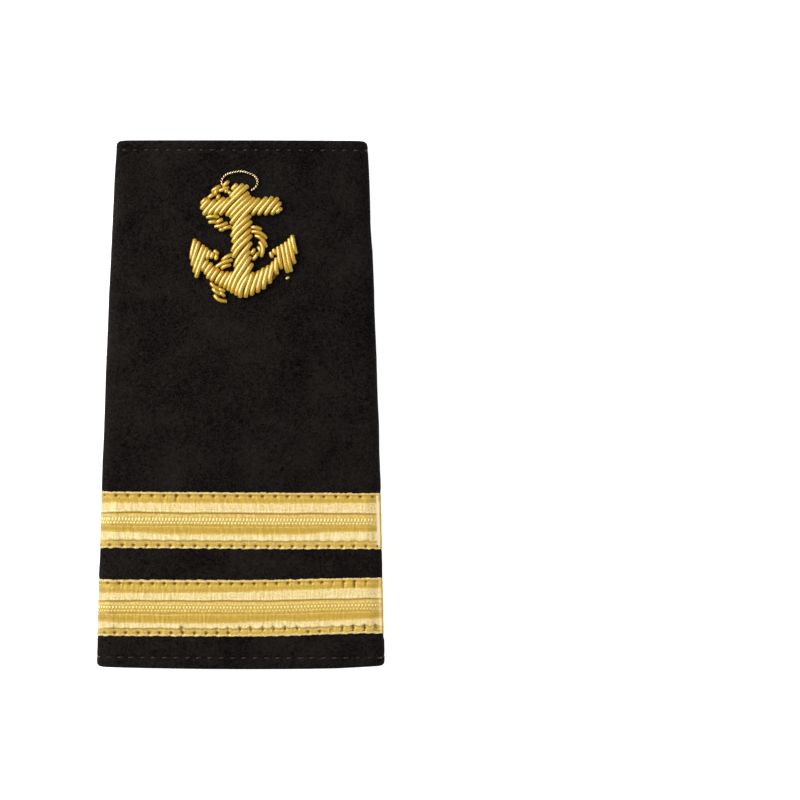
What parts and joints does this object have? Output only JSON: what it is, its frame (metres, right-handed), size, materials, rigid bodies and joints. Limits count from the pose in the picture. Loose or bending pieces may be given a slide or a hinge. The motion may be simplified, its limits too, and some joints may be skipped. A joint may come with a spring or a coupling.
{
  "type": "slip-on epaulette with anchor and laces",
  "caption": "Tapered black felt sleeve for a shoulder strap, with gold laces across it and a raised gold wire anchor near its narrow end.",
  "frame": {"origin": "centre of the back, where the slide lies on a flat surface", "axes": "+Y towards the narrow collar end, +Z out of the decorated face, +X across"},
  "size_m": [0.0616, 0.11, 0.0097],
  "materials": {
    "felt": "matte wool felt",
    "felt_back": "matte wool felt",
    "gold_lace": "woven metal thread",
    "gold_wire": "coiled gilt wire",
    "gold_cord": "twisted gilt thread"
  },
  "bodies": {
    "root": {"face_cloth": "felt", "back_panel": "felt_back", "lace_upper": "gold_lace", "lace_lower": "gold_lace", "anchor": "gold_wire", "anchor_ring": "gold_cord", "rope_ring_to_stock": "gold_wire", "rope_under_stock": "gold_wire", "rope_right_loop": "gold_wire", "rope_left_turn": "gold_wire", "rope_tail": "gold_wire"}
  },
  "joints": []
}
